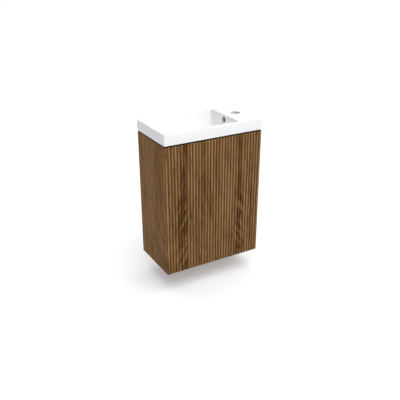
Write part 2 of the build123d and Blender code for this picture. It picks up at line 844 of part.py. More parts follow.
def hinge_fastener_pieces():
    """Screws of the hinge cups, the mounting plates and the arms."""
    levels = hinge_levels.values()
    mouth = door_back + flange_thickness
    with BuildPart() as hinge_cup_screws:
        for level in levels:
            screws(cup_screw_points(level, mouth), (0, 1, 0), chipboard_screw)
    save(hinge_cup_screws, "hinge_cup_screws")
    with BuildPart() as hinge_plate_screws:
        screws(moved(hinge_screw_points(), 1, mount_plate_thickness), (-1, 0, 0), panel_screw)
    save(hinge_plate_screws, "hinge_plate_screws")
    with BuildPart() as hinge_arm_screws:
        for level in levels:
            screws(arm_screw_points(level), (-1, 0, 0), machine_screw)
    save(hinge_arm_screws, "hinge_arm_screws")


def latch_pieces():
    """The push latch on the left panel: body, plunger and screws."""
    half_height = latch_height / 2
    back = latch_front + latch_length
    ear_front = latch_front + latch_ear_setback
    ear_face = -carcass_half + latch_ear_thickness
    tip = door_back + strike_thickness + plunger_gap
    with BuildPart() as push_latch_body:
        block(
            (-carcass_half, latch_front, latch_level - half_height),
            (-carcass_half + latch_thickness, back, latch_level + half_height),
        )
        room_face = push_latch_body.faces().sort_by(Axis.X)[-1]
        fillet(room_face.edges(), latch_edge_round)
        block(
            (-carcass_half, ear_front, latch_level - latch_ear_height / 2),
            (ear_face, ear_front + latch_ear_length, latch_level + latch_ear_height / 2),
        )
        bores(
            [(latch_x, latch_front, latch_level)],
            (0, -1, 0),
            plunger_radius + plunger_play,
            latch_bore_length,
        )
        ear_points = moved(latch_screw_points(), -1, latch_ear_thickness)
        bores(ear_points, (1, 0, 0), panel_screw[0] + hardware_play, latch_ear_thickness)
    save(push_latch_body, "push_latch_body")
    with BuildPart() as push_latch_plunger:
        rods([(latch_x, tip, latch_level)], (0, 1, 0), plunger_radius, plunger_length)
        rods([(latch_x, tip, latch_level)], (0, 1, 0), plunger_tip_radius, plunger_tip_length)
        fillet(push_latch_plunger.faces().sort_by(Axis.Y)[0].edges(), latch_edge_round)
    save(push_latch_plunger, "push_latch_plunger")
    with BuildPart() as latch_screws:
        screws(ear_points, (1, 0, 0), panel_screw)
    save(latch_screws, "latch_screws")


def door_fitting_pieces():
    """The latch's strike plate with its screw, and the soft bumpers, on the door's back."""
    half = strike_size / 2
    with BuildPart() as strike_plate:
        block(
            (latch_x - half, door_back, latch_level - half),
            (latch_x + half, door_back + strike_thickness, latch_level + half),
        )
        fillet(strike_plate.edges().filter_by(Axis.Y), half / 2)
        seat = door_back + strike_thickness
        bores([(latch_x, seat, latch_level)], (0, 1, 0), strike_screw[2] + hardware_play, strike_screw[3])
        bores([(latch_x, seat, latch_level)], (0, 1, 0), strike_screw[0] + hardware_play, strike_thickness)
    save(strike_plate, "strike_plate")
    with BuildPart() as strike_plate_screw:
        head_seat = door_back + strike_thickness - strike_screw[3]
        screws([(latch_x, head_seat, latch_level)], (0, 1, 0), strike_screw)
    save(strike_plate_screw, "strike_plate_screw")
    with BuildPart() as door_bumpers:
        ends = (cabinet_bottom + bumper_end_distance, cabinet_top - bumper_end_distance)
        points = [(bumper_inset - cabinet_half, door_back, end) for end in ends]
        rods(points, (0, 1, 0), bumper_radius, bumper_height)
        fillet(door_bumpers.faces().filter_by(Axis.Y).group_by(Axis.Y)[-1].edges(), bumper_height / 2)
    save(door_bumpers, "door_bumpers")


basin_piece()
basin_seal_piece()
for side_name, side in sides:
    side_panel_piece(side_name, side)
bottom_panel_piece()
for rail_name, level in rail_levels.items():
    back_rail_piece(rail_name, level)
edge_bands_piece()
cam_pieces()
shelf_pieces()
adjuster_points = []
screw_faces = []
for side_name, side in sides:
    wall_plate_piece(side_name, side)
    side_adjusters, side_screws = hanger_pieces(side_name, side)
    adjuster_points += side_adjusters
    screw_faces += side_screws
hanger_fastener_pieces(adjuster_points, screw_faces)
door_piece()
for hinge_name, level in hinge_levels.items():
    hinge_cup_piece(hinge_name, level)
    hinge_pin_piece(hinge_name, level)
    hinge_arm_piece(hinge_name, level)
    hinge_plate_piece(hinge_name, level)
    hinge_cover_piece(hinge_name, level)
hinge_fastener_pieces()
latch_pieces()
door_fitting_pieces()
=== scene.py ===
import json
import math

import bmesh
import bpy
import numpy as np
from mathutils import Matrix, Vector


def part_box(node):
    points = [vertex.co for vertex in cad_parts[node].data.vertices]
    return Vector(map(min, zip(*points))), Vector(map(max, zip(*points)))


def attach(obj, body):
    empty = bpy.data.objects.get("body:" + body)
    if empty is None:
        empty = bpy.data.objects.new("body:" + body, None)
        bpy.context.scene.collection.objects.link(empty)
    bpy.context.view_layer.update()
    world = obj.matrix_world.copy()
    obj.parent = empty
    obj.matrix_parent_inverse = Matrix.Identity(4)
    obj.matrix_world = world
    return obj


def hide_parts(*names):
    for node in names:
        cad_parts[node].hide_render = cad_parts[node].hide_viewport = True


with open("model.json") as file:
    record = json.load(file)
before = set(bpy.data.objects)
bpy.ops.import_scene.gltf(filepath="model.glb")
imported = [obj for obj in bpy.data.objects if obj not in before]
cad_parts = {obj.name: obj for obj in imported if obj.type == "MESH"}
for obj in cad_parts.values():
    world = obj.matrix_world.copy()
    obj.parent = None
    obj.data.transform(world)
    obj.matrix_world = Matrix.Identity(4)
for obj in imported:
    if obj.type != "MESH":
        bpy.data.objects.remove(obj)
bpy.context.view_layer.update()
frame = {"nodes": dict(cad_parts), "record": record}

bl_info = {
    "name": "Cloakroom vanity unit",
    "version": (1, 0, 0),
    "blender": (4, 5, 0),
    "location": "View3D > Sidebar > Vanity",
    "description": "Surfaces and finishes for a wall-hung vanity with a fluted door",
    "category": "Object",
}

MM = 0.001
CABINET = "cabinet"
DOOR = "door"

# Steps of the basin's rings and of round bars, and the angle above which an edge stays sharp.
CORNER_STEPS = 12
SIDE_STEPS = 22
ROUND_STEPS = 96
SHARP_DEGREES = 32.0

# The basin's corners, seen from above, and the rounding under its skirt.
OUTER_CORNER = 3 * MM
MOUTH_CORNER = 9 * MM
FLOOR_CORNER = 24 * MM
POCKET_CORNER = 6 * MM
UNDER_ROUND = 0.8 * MM

# The plain bowl wall starts this far under the rim.
BELOW_LIP = 6 * MM

# Beside the bowl the hollow's roof is this far above the skirt's foot; it climbs to the deck over this width.
ROOF_RISE = 14 * MM
ROOF_SLOPE = 20 * MM

# The overflow's duct: half the depth and the width of its hollow, its wall and the height of its lower run.
DUCT_HALF = 17 * MM
DUCT_WIDTH = 12 * MM
DUCT_WALL = 5 * MM
DUCT_RUN = 9 * MM

# Lengths of the cuts for the tap and the overflow, which pass right through their walls.
TAP_REACH = 60 * MM
OVERFLOW_REACH = 24 * MM

# How far the feet stand in from the skirt's outer face.
FOOT_INSET = 5 * MM

# Steps across a reed and a groove, round the door's edge and up the door.
REED_STEPS = 10
GROOVE_STEPS = 5
EDGE_STEPS = 4
DOOR_LEVELS = 9

# The hinge cups' bores: radius, distance in from the door's edge, room past the cup and run out of the back.
CUP_BORE_RADIUS = 17.5 * MM
CUP_BORE_SETBACK = 20.5 * MM
CUP_BORE_ROOM = 0.1 * MM
CUP_BORE_RUN_OUT = 10 * MM

# Steps round an eased edge of a CAD piece.
BEVEL_STEPS = 2

# Painted light on the reeds: how pale the crests' sheen is, and how bright crests and groove floors are.
CREST_SHEEN = 0.50
CREST_SHADE = 1.10
GROOVE_SHADE = 0.48

# Height of the band of painted shade at the boards' top edges.
TOP_EDGE_SHADE_BAND = 0.35 * MM

# Each figure: its line across the board, its left and right widths in mm, its strength, its strokes' slope.
DOOR_FIGURES = ((-0.121, 24, 7, 0.60, -1.5), (0.108, 12, 15, 0.56, 1.5))
SIDE_FIGURES = ((-0.170, 45, 70, 0.34, -1.2),)
# The level at which the figures open out.
FIGURE_HEART = -0.370

# World light towards the top, the front and the right, as shares of white.
WORLD_UP = 0.09
WORLD_FRONT = 0.71
WORLD_RIGHT = 0.77
# The even light that reflections see.
REFLECTED_LIGHT = 0.8
# Each lamp: its name, the direction it shines from and its strength.
LAMPS = (
    ("lamp_right", (0.34, 0.0, 1.0), 0.93),
    ("lamp_front", (0.0, -0.6, 1.0), 1.83),
    ("lamp_back", (0.0, 0.5, 1.0), 0.88),
)
LAMP_SPREAD = 70
# The floor's own glow keeps its shadow pale.
FLOOR_GLOW = 0.244
# The floor's half width in metres, and the points along its side.
FLOOR_REACH = 12.0
FLOOR_POINTS = 9

# The camera stands in front of the unit, to its left and above its rim.
CAMERA_PLACE = (-0.9486, -1.7594, 0.5709)
CAMERA_TILT = 65.349
CAMERA_TURN = -29.905
CAMERA_LENS = 48.97

basin_low, basin_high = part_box("basin")
door_low, door_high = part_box("door_panel")


def mount_place(name):
    """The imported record's position of a mount, as a vector."""
    for mount in frame["record"]["mounts"]:
        if mount["name"] == name:
            return Vector(mount["pos_m"])
    raise KeyError(name)


def mount_radius(name):
    """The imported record's radius of a round mount, in metres."""
    for mount in frame["record"]["mounts"]:
        if mount["name"] == name:
            return mount["dims"]["r_mm"] * MM
    raise KeyError(name)


def length(name, words, default):
    """A named length property, in metres."""
    return bpy.props.FloatProperty(
        name=name, description=words, default=default, min=0.0, unit="LENGTH", precision=4
    )


def paint(name, words, code):
    """A named colour property, given as an sRGB hex code."""
    return bpy.props.FloatVectorProperty(
        name=name, description=words, default=linear(code), size=3, min=0.0, max=1.0, subtype="COLOR"
    )


def linear(code):
    """An sRGB hex code as linear red, green and blue."""
    values = [int(code[start:start + 2], 16) / 255 for start in (1, 3, 5)]
    return tuple(v / 12.92 if v <= 0.04045 else ((v + 0.055) / 1.055) ** 2.4 for v in values)


class VanitySizes(bpy.types.PropertyGroup):
    """Sizes of the visible surfaces, in metres."""

    rim_left: length("Left rim", "Width of the basin's rim beside the bowl", 12 * MM)
    rim_front: length("Front rim", "Width of the basin's rim in front of the bowl", 12 * MM)
    rim_back: length("Back rim", "Width of the basin's rim behind the bowl", 12 * MM)
    deck_width: length("Tap deck", "Width of the deck at the right of the bowl", 96 * MM)
    bowl_depth: length("Bowl depth", "Depth of the bowl below the rim", 90 * MM)
    bowl_wall: length("Bowl wall", "Thickness of the bowl's shell", 8 * MM)
    run_left: length("Left slope", "How far the bowl's left wall leans in", 41 * MM)
    run_right: length("Right slope", "How far the bowl's right wall leans in", 4 * MM)
    run_front: length("Front slope", "How far the bowl's front wall leans in", 52 * MM)
    run_back: length("Back slope", "How far the bowl's back wall leans in", 28 * MM)
    rim_height: length("Rim height", "Height of the basin's outer face", 40 * MM)
    skirt: length("Skirt", "Thickness of the basin's outer wall", 12 * MM)
    deck: length("Deck thickness", "Thickness of the tap deck", 12 * MM)
    outer_round: length("Outer edge", "Rounding of the basin's outer top edge", 1.4 * MM)
    lip_round: length("Lip", "Rounding of the bowl's top edge", 2.2 * MM)
    floor_round: length("Floor rounding", "Rounding between the bowl's walls and floor", 14 * MM)
    floor_fall: length("Floor fall", "How far the bowl's floor falls to the waste", 1.8 * MM)
    waste_seat: length("Waste seat", "Radius of the recess for the waste's flange", 33 * MM)
    boss: length("Waste boss", "Radius of the boss under the waste hole", 31 * MM)
    flute_depth: length("Flute depth", "Depth of the grooves between the reeds", 3 * MM)
    groove: length("Groove width", "Width of a groove between two reeds", 4 * MM)
    arris: length("Arris", "Rounding of the boards' edges", 0.7 * MM)
    floor_gap: length("Floor gap", "Height of the unit above the studio floor", 75 * MM)
    flutes: bpy.props.IntProperty(name="Reeds", description="Reeds across the door", default=33, min=3)


class VanityColours(bpy.types.PropertyGroup):
    """Colours of the finishes."""

    # Painted shade for the overflow's duct and the basin's feet.
    duct_and_foot_shade: paint("Bare resin", "Uncoated resin of the duct and the feet", "#3A3733")
    basin: paint("Basin", "White gel coat of the basin", "#F5F5F6")
    # Painted sheen, mixed onto the reeds' crests.
    walnut_sheen: paint("Walnut, rubbed", "Rubbed crests of the reeds", "#A78E75")
    walnut_light: paint("Walnut, light", "Light bands of the walnut decor", "#977042")
    walnut_middle: paint("Walnut, middle", "Ground colour of the walnut decor", "#72502B")
    walnut_dark: paint("Walnut, dark", "Dark bands and pores of the walnut decor", "#3E260F")
    # Painted shade: near black on the boards' top edges and the sealant, so the gap under the basin reads
    # dark.
    gap_shade: paint("Sealed edge", "Dark lacquer on the boards' cut top edges", "#0E0905")
    nickel: paint("Nickel", "Satin nickel of the hinges", "#C9C5BC")
    zinc: paint("Zinc", "Bright zinc plate of screws and wall plates", "#C3C6CA")
    white_plastic: paint("White nylon", "Moulded hanger bodies and covers", "#E4E3DE")
    grey_plastic: paint("Grey acetal", "Moulded push latch", "#8C8F91")
    beech: paint("Beech", "Bare wood of the dowels", "#C9A777")
    floor: paint("Floor", "Studio floor", "#E2E3E5")


def sizes():
    return bpy.context.scene.vanity_sizes


def colours():
    return bpy.context.scene.vanity_colours


# Meshes


def new_mesh_object(name, points, faces):
    """A mesh object from points and quads, with its doubles merged and its faces turned out."""
    mesh = bpy.data.meshes.new(name)
    mesh.from_pydata(np.asarray(points, float).reshape(-1, 3).tolist(), [], np.asarray(faces).tolist())
    shell = bmesh.new()
    shell.from_mesh(mesh)
    bmesh.ops.remove_doubles(shell, verts=shell.verts, dist=1e-6)
    bmesh.ops.recalc_face_normals(shell, faces=shell.faces)
    shell.to_mesh(mesh)
    shell.free()
    piece = bpy.data.objects.new(name, mesh)
    bpy.context.scene.collection.objects.link(piece)
    return piece


def grid_faces(rows, columns, closed_rows=False, closed_columns=True):
    """Quads of a grid of points, row after row; a closed direction joins its last line to its first."""
    row = np.arange(rows if closed_rows else rows - 1)
    column = np.arange(columns if closed_columns else columns - 1)
    r, c = np.meshgrid(row, column, indexing="ij")
    r_next = (r + 1) % rows
    c_next = (c + 1) % columns
    corners = [r * columns + c, r * columns + c_next, r_next * columns + c_next, r_next * columns + c]
    return np.stack(corners, axis=-1).reshape(-1, 4)


def settle(piece):
    """Applies a piece's modifiers and shades it smooth, but for edges sharper than the angle."""
    bpy.context.view_layer.update()
    graph = bpy.context.evaluated_depsgraph_get()
    finished = bpy.data.meshes.new_from_object(piece.evaluated_get(graph), depsgraph=graph)
    old = piece.data
    piece.modifiers.clear()
    piece.data = finished
    finished.name = piece.name
    bpy.data.meshes.remove(old)
    finished.shade_smooth()
    finished.set_sharp_from_angle(angle=math.radians(SHARP_DEGREES))


def cylinder(name, centre, axis, radius, length_m):
    """A closed round bar: a circle of the radius, carried half the length each way along the axis."""
    angle = np.linspace(0, 2 * math.pi, ROUND_STEPS, endpoint=False)
    turn = Vector(axis).to_track_quat("Z", "Y").to_matrix()
    rings = []
    for height, share in ((-0.5, 0.0), (-0.5, 1.0), (0.5, 1.0), (0.5, 0.0)):
        level = np.full(ROUND_STEPS, height * length_m)
        ring = np.stack([share * radius * np.cos(angle), share * radius * np.sin(angle), level], axis=-1)
        rings.append(ring @ np.array(turn).T + np.array(centre))
    return new_mesh_object(name, np.concatenate(rings), grid_faces(4, ROUND_STEPS))


def cuboid(name, low, high):
    """A closed block between two corners, made of six quads."""
    corners = [(x, y, z) for z in (low[2], high[2]) for y in (low[1], high[1]) for x in (low[0], high[0])]
    faces = [(0, 2, 3, 1), (4, 5, 7, 6), (0, 1, 5, 4), (2, 6, 7, 3), (0, 4, 6, 2), (1, 3, 7, 5)]
    return new_mesh_object(name, corners, faces)


def combine(piece, others, operation):
    """Joins the other solids to a piece, or cuts them from it, and drops them."""
    for other in others:
        change = piece.modifiers.new(operation.lower(), "BOOLEAN")
        change.operation = operation
        change.solver = "EXACT"
        change.object = other
    settle(piece)
    for other in others:
        mesh = other.data
        bpy.data.objects.remove(other)
        bpy.data.meshes.remove(mesh)


def quarter_turn(steps):
    """Evenly spaced angles from nought to a quarter turn."""
    return np.radians(np.linspace(0, 90, steps))


def rounded_ring(low, high, corner, level):
    """Points anticlockwise round a rectangle with quarter-circle corners, starting at the front right.

    Each corner's points are its centre plus the radius times the cosine and sine of evenly spaced
    angles, and evenly spaced points join one corner's end to the next corner's start.
    """
    low = np.asarray(low, float)
    high = np.asarray(high, float)
    corner = min(corner, *((high - low) / 2 - 1e-6))
    centres = [
        (high[0] - corner, low[1] + corner, -90),
        (high[0] - corner, high[1] - corner, 0),
        (low[0] + corner, high[1] - corner, 90),
        (low[0] + corner, low[1] + corner, 180),
    ]
    arcs = []
    for x, y, start in centres:
        angle = np.radians(start + np.linspace(0, 90, CORNER_STEPS + 1))
        arcs.append(np.stack([x + corner * np.cos(angle), y + corner * np.sin(angle)], axis=-1))
    runs = []
    share = np.linspace(0, 1, SIDE_STEPS + 1)[1:-1, None]
    for index, arc in enumerate(arcs):
        following = arcs[(index + 1) % 4]
        runs += [arc, arc[-1] * (1 - share) + following[0] * share]
    flat = np.concatenate(runs)
    return np.column_stack([flat, np.full(len(flat), level)])


def round_ring(like, centre, radius, level):
    """A circle whose points lie in the same directions from its centre as another ring's points."""
    angle = np.unwrap(np.arctan2(like[:, 1] - centre[1], like[:, 0] - centre[0]))
    flat = np.stack([centre[0] + radius * np.cos(angle), centre[1] + radius * np.sin(angle)], axis=-1)
    return np.column_stack([flat, np.full(len(flat), level)])


def blend_rings(first, last, share):
    """A ring part of the way from one ring to another."""
    return first * (1 - share) + last * share


# Basin


class BasinShape:
    """The basin's rings, from its sizes: each method gives one stretch of the closed profile."""

    def __init__(self, size):
        self.size = size
        self.top = basin_high.z
        self.under = self.top - size.rim_height
        self.low = np.array([basin_low.x, basin_low.y])
        self.high = np.array([basin_high.x, basin_high.y])
        self.mouth_low = self.low + (size.rim_left, size.rim_front)
        self.mouth_high = self.high - (size.deck_width, size.rim_back)
        self.floor_low = self.mouth_low + (size.run_left, size.run_front)
        self.floor_high = self.mouth_high - (size.run_right, size.run_back)
        waste = mount_place("waste_hole")
        self.waste = np.array([waste.x, waste.y])
        self.waste_radius = mount_radius("waste_hole")
        self.floor = self.top - size.bowl_depth

    def wall_ring(self, level, outward=0.0, inset=0.0):
        """The bowl's wall at a level: corners of mouth and floor, mixed by depth, grown or shrunk."""
        share = (self.top - level) / self.size.bowl_depth
        low = self.mouth_low * (1 - share) + self.floor_low * share - outward + inset
        high = self.mouth_high * (1 - share) + self.floor_high * share + outward - inset
        corner = MOUTH_CORNER * (1 - share) + FLOOR_CORNER * share + outward - inset
        return rounded_ring(low, high, max(corner, 1 * MM), level)

    def outer_rings(self):
        """Up the skirt's outer face and over its rounded top edge."""
        edge = self.size.outer_round
        steps = []
        for angle in quarter_turn(4):
            inset = UNDER_ROUND * (1 - math.sin(angle))
            steps.append((inset, self.under + UNDER_ROUND * (1 - math.cos(angle))))
        for angle in quarter_turn(6):
            steps.append((edge * (1 - math.cos(angle)), self.top - edge * (1 - math.sin(angle))))
        return [
            rounded_ring(self.low + inset, self.high - inset, OUTER_CORNER - inset, level)
            for inset, level in steps
        ]

    def mouth_rings(self):
        """Across the flat top to the bowl's rounded lip and down into the bowl."""
        lip = self.size.lip_round
        rings = []
        for angle in quarter_turn(8):
            outward = lip * (1 - math.sin(angle))
            level = self.top - lip * (1 - math.cos(angle))
            rings.append(self.wall_ring(level, outward=outward))
        return rings

    def bowl_rings(self):
        """Down the drafted walls, round into the floor and across its gentle fall to the waste."""
        size = self.size
        round_radius = size.floor_round
        foot = self.floor + size.floor_fall
        levels = np.linspace(self.top - BELOW_LIP, foot + round_radius, 10)
        rings = [self.wall_ring(level) for level in levels]
        for angle in quarter_turn(11)[1:]:
            inset = round_radius * (1 - math.cos(angle))
            level = foot + round_radius * (1 - math.sin(angle))
            rings.append(self.wall_ring(level, inset=inset))
        edge = rings[-1]
        seat = round_ring(edge, self.waste, size.waste_seat + 1 * MM, self.floor)
        rings += [blend_rings(edge, seat, share) for share in np.linspace(0, 1, 10)[1:]]
        return rings

    def waste_rings(self):
        """Down into the waste's seat, through the hole and out over the boss."""
        size = self.size
        like = self.wall_ring(self.floor)
        boss_under = basin_low.z
        seat_level = self.floor - 2 * MM
        shell_under = self.floor - size.bowl_wall
        # Each step is a radius and a level; the small differences are chamfers.
        steps = [
            (size.waste_seat, self.floor - 0.6 * MM),
            (size.waste_seat - 0.3 * MM, seat_level),
            (self.waste_radius + 1 * MM, seat_level),
            (self.waste_radius, seat_level - 1 * MM),
            (self.waste_radius, boss_under + 0.5 * MM),
            (self.waste_radius + 0.5 * MM, boss_under),
            (size.boss - 1 * MM, boss_under),
            (size.boss, boss_under + 1 * MM),
            (size.boss, shell_under - 2 * MM),
            (size.boss + 2 * MM, shell_under),
        ]
        return [round_ring(like, self.waste, radius, level) for radius, level in steps]

    def shell_rings(self):
        """Out under the floor, up the bowl's outer walls and under the deck to the skirt."""
        size = self.size
        wall = size.bowl_wall
        shell_under = self.floor - wall
        round_radius = size.floor_round + 4 * MM
        rings = []
        for angle in np.radians(np.linspace(90, 0, 8)):
            inset = round_radius * (1 - math.cos(angle))
            level = shell_under + round_radius * (1 - math.sin(angle))
            rings.append(self.wall_ring(level, outward=wall, inset=inset))
        pocket_low = self.low + size.skirt
        pocket_high = self.high - size.skirt
        roof_high = self.top - size.deck
        roof_low = self.under + ROOF_RISE
        pocket = rounded_ring(pocket_low, pocket_high, POCKET_CORNER, self.under)
        deck_left = self.mouth_high[0]
        over_deck = np.clip((pocket[:, 0] - deck_left) / ROOF_SLOPE, 0, 1)
        roof = roof_low + (roof_high - roof_low) * over_deck
        rings.append(self.wall_ring(self.under, outward=wall))
        rings.append(self.wall_ring(roof_low, outward=wall))
        upper = self.wall_ring(roof_high, outward=wall)
        near_roof = rings[-1] * (1 - over_deck[:, None]) + upper * over_deck[:, None]
        near_roof[:, 0] = np.clip(near_roof[:, 0], pocket_low[0] + 1 * MM, None)
        near_roof[:, 1] = np.clip(near_roof[:, 1], pocket_low[1] + 1 * MM, pocket_high[1] - 1 * MM)
        rings.append(near_roof)
        at_roof = pocket.copy()
        at_roof[:, 2] = roof
        rings += [at_roof, pocket]
        return rings

    def all_rings(self):
        """The whole closed profile, from the skirt's foot over the bowl and back to the skirt."""
        parts = [self.outer_rings(), self.mouth_rings(), self.bowl_rings()]
        parts += [self.waste_rings(), self.shell_rings()]
        return [ring for part in parts for ring in part]


def overflow_duct_blocks(shape):
    """The box of the overflow's duct, under the deck and the floor, and the hollow inside it."""
    size = shape.size
    middle = mount_place("overflow").y
    front = middle - DUCT_HALF
    back = middle + DUCT_HALF
    boss_under = basin_low.z
    left = shape.mouth_high[0] + size.bowl_wall
    right = left + DUCT_WIDTH
    box_top = shape.top - size.deck + 2 * MM
    low_top = shape.floor - 7 * MM
    inner_left = shape.waste[0] + shape.waste_radius / 2
    # The casing's blocks end just above the boss's underside, at two levels, so that no faces share a plane.
    casing = [
        cuboid(
            "duct_rise",
            (left - DUCT_WALL, front - DUCT_WALL, boss_under + 0.3 * MM),
            (right + DUCT_WALL, back + DUCT_WALL, box_top),
        ),
        cuboid(
            "duct_foot",
            (shape.waste[0] + shape.waste_radius + 3 * MM, front - DUCT_WALL, boss_under + 0.4 * MM),
            (left, back + DUCT_WALL, low_top),
        ),
    ]
    hollow = [
        cuboid(
            "duct_hollow",
            (left, front, boss_under + DUCT_WALL),
            (right, back, shape.top - 8 * MM),
        ),
        cuboid(
            "duct_run",
            (inner_left, middle - DUCT_HALF / 2, boss_under + DUCT_WALL),
            (right - 1 * MM, middle + DUCT_HALF / 2, boss_under + DUCT_WALL + DUCT_RUN),
        ),
    ]
    return casing, hollow


def basin_feet(shape):
    """The two narrow feet under the skirt that stand on the side panels."""
    seal_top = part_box("basin_seal")[1].z
    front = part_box("side_panel_left")[0].y
    feet = []
    for side, edge, inward in (("left", shape.low[0], 1), ("right", shape.high[0], -1)):
        outer = edge + inward * FOOT_INSET
        inner = edge + inward * shape.size.skirt
        low_corner = (min(outer, inner), front, seal_top)
        high_corner = (max(outer, inner), shape.high[1] - 0.5 * MM, shape.under + 2 * MM)
        feet.append(cuboid(f"foot_{side}", low_corner, high_corner))
    return feet


class VANITY_OT_basin(bpy.types.Operator):
    """Makes the white basin: skirt, rim, bowl, tap deck, waste hole, overflow and feet."""

    bl_idname = "vanity.basin"
    bl_label = "Basin"

    def execute(self, context):
        shape = BasinShape(sizes())
        rings = shape.all_rings()
        columns = len(rings[0])
        faces = grid_faces(len(rings), columns, closed_rows=True)
        basin = new_mesh_object("basin_shell", np.concatenate(rings), faces)
        casing, cutters = overflow_duct_blocks(shape)
        combine(basin, casing + basin_feet(shape), "UNION")
        holes = (("tap_hole", (0, 0, 1), TAP_REACH), ("overflow", (1, 0, 0), OVERFLOW_REACH))
        for name, axis, reach in holes:
            cutters.append(cylinder(f"{name}_cut", mount_place(name), axis, mount_radius(name), reach))
        combine(basin, cutters, "DIFFERENCE")
        coat(basin, gel_coat())
        finish_piece(basin, CABINET, "basin_resin", "basin")
        return {"FINISHED"}


def coat(piece, material):
    """Gives a piece one material all over."""
    piece.data.materials.clear()
    piece.data.materials.append(material)


def finish_piece(piece, body, slot, *nodes):
    """Attaches a finished piece to its body and hides the CAD nodes that it stands for; the slot is not used.
    """
    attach(piece, body)
    if nodes:
        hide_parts(*nodes)


# Door


def reeded_front(size, half_width):
    """Points along the door's front, from left to right.

    The front is a chain of arcs: a convex arc for each reed and a concave arc for each groove.
    Both have the same height for their width, so they meet in line.  An arc's points are its
    chord's even steps, each raised by the circle's height above the chord.
    """
    pitch = 2 * half_width / size.flutes
    reed = pitch - size.groove
    reed_rise = size.flute_depth * reed / pitch
    groove_rise = size.flute_depth - reed_rise
    across = []
    height = []
    reed_share = np.linspace(-1, 1, REED_STEPS + 1)
    groove_share = np.linspace(-1, 1, GROOVE_STEPS + 1)[1:-1]
    for index in range(size.flutes):
        middle = -half_width + (index + 0.5) * pitch
        across.append(middle + reed_share * reed / 2)
        height.append(groove_rise + arc_height(reed_share, reed, reed_rise))
        if index < size.flutes - 1:
            across.append(middle + pitch / 2 + groove_share * size.groove / 2)
            height.append(groove_rise - arc_height(groove_share, size.groove, groove_rise))
    ends = np.array([half_width])
    across = np.concatenate([-ends, *across, ends])
    height = np.concatenate([ends * 0, *height, ends * 0])
    return across, height


def arc_height(share, width, rise):
    """Height of a circle's arc above its chord; share runs from -1 to 1 along the chord."""
    radius = (width**2 / 4 + rise**2) / (2 * rise)
    return np.sqrt(radius**2 - (share * width / 2) ** 2) - (radius - rise)


class VANITY_OT_door(bpy.types.Operator):
    """Makes the fluted door, with its edges eased and the hinge cups' bores cut in its back."""

    bl_idname = "vanity.door"
    bl_label = "Fluted door"

    def execute(self, context):
        size = sizes()
        half_width = (door_high.x - door_low.x) / 2
        across, height = reeded_front(size, half_width)
        front = door_low.y + size.flute_depth - height
        ease = size.arris
        turns = quarter_turn(EDGE_STEPS)
        insets = ease * (1 - np.sin(turns))
        bottom = door_low.z + ease * (1 - np.cos(turns))
        top = door_high.z - ease * (1 - np.cos(turns))
        between = np.linspace(bottom[-1], top[-1], DOOR_LEVELS)[1:-1]
        levels = np.concatenate([bottom, between, top[::-1]])
        inset = np.concatenate([insets, np.zeros(len(between)), insets[::-1]])
        x = np.clip(across[None, :], -half_width + inset[:, None], half_width - inset[:, None])
        front_y = front[None, :] + inset[:, None]
        back_y = np.broadcast_to(door_high.y - inset[:, None], front_y.shape)
        z = np.broadcast_to(levels[:, None], front_y.shape)
        ring_x = np.concatenate([x, x[:, ::-1]], axis=1)
        ring_y = np.concatenate([front_y, back_y[:, ::-1]], axis=1)
        ring_z = np.concatenate([z, z], axis=1)
        points = np.stack([ring_x, ring_y, ring_z], axis=-1)
        columns = ring_x.shape[1]
        faces = [grid_faces(len(levels), columns)]
        front_index = np.arange(len(across) - 1)
        back_index = columns - 1 - front_index
        for base in (0, (len(levels) - 1) * columns):
            cap = [front_index, front_index + 1, back_index - 1, back_index]
            faces.append(base + np.stack(cap, axis=-1))
        door = new_mesh_object("door_fluted", points, np.concatenate(faces))
        cutters = []
        for name in ("hinge_cup_bottom", "hinge_cup_top"):
            low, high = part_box(name)
            depth = door_high.y - low.y + CUP_BORE_ROOM
            middle_y = door_high.y - depth / 2 + CUP_BORE_RUN_OUT / 2
            centre = (door_high.x - CUP_BORE_SETBACK, middle_y, (low.z + high.z) / 2)
            bore_length = depth + CUP_BORE_RUN_OUT
            cutters.append(cylinder(f"{name}_bore", centre, (0, 1, 0), CUP_BORE_RADIUS, bore_length))
        combine(door, cutters, "DIFFERENCE")
        coat(door, walnut_foil("walnut_foil_on_fluted_board", "X", fluted=True, figures=DOOR_FIGURES))
        finish_piece(door, DOOR, "walnut_door", "door_panel")
        return {"FINISHED"}


# Materials


def add_node(tree, kind, settings=None, inputs=None):
    """Adds a node, sets its settings, and sets or links its inputs."""
    made = tree.nodes.new(kind)
    for name, value in (settings or {}).items():
        setattr(made, name, value)
    for name, value in (inputs or {}).items():
        if isinstance(value, bpy.types.NodeSocket):
            tree.links.new(value, made.inputs[name])
        else:
            made.inputs[name].default_value = value
    return made


def new_material(name):
    """An empty material with a Principled shader wired to its output, and the shader."""
    material = bpy.data.materials.new(name)
    material.use_nodes = True
    tree = material.node_tree
    tree.nodes.clear()
    shader = add_node(tree, "ShaderNodeBsdfPrincipled")
    add_node(tree, "ShaderNodeOutputMaterial", inputs={"Surface": shader.outputs["BSDF"]})
    return material, tree, shader


def math_node(tree, operation, first, second=0.0, third=0.0, clamp=False):
    """The result of a sum, product or other operation on two or three values."""
    settings = {"operation": operation, "use_clamp": clamp}
    made = add_node(tree, "ShaderNodeMath", settings, {0: first, 1: second, 2: third})
    return made.outputs[0]


def blend(tree, share, first, second):
    """A value part of the way from one value to another."""
    return add_node(tree, "ShaderNodeMix", {"data_type": "FLOAT"}, {0: share, 2: first, 3: second}).outputs[0]


def mix_colour(tree, share, first, second):
    """A mix of two colours."""
    made = add_node(tree, "ShaderNodeMix", {"data_type": "RGBA"}, {0: share, 6: first, 7: second})
    return made.outputs[2]


def ramp(tree, value, low, high, low_out=0.0, high_out=1.0):
    """A value's range eased into another range."""
    made = add_node(
        tree,
        "ShaderNodeMapRange",
        {"interpolation_type": "SMOOTHSTEP"},
        {"Value": value, "From Min": low, "From Max": high, "To Min": low_out, "To Max": high_out},
    )
    return made.outputs[0]


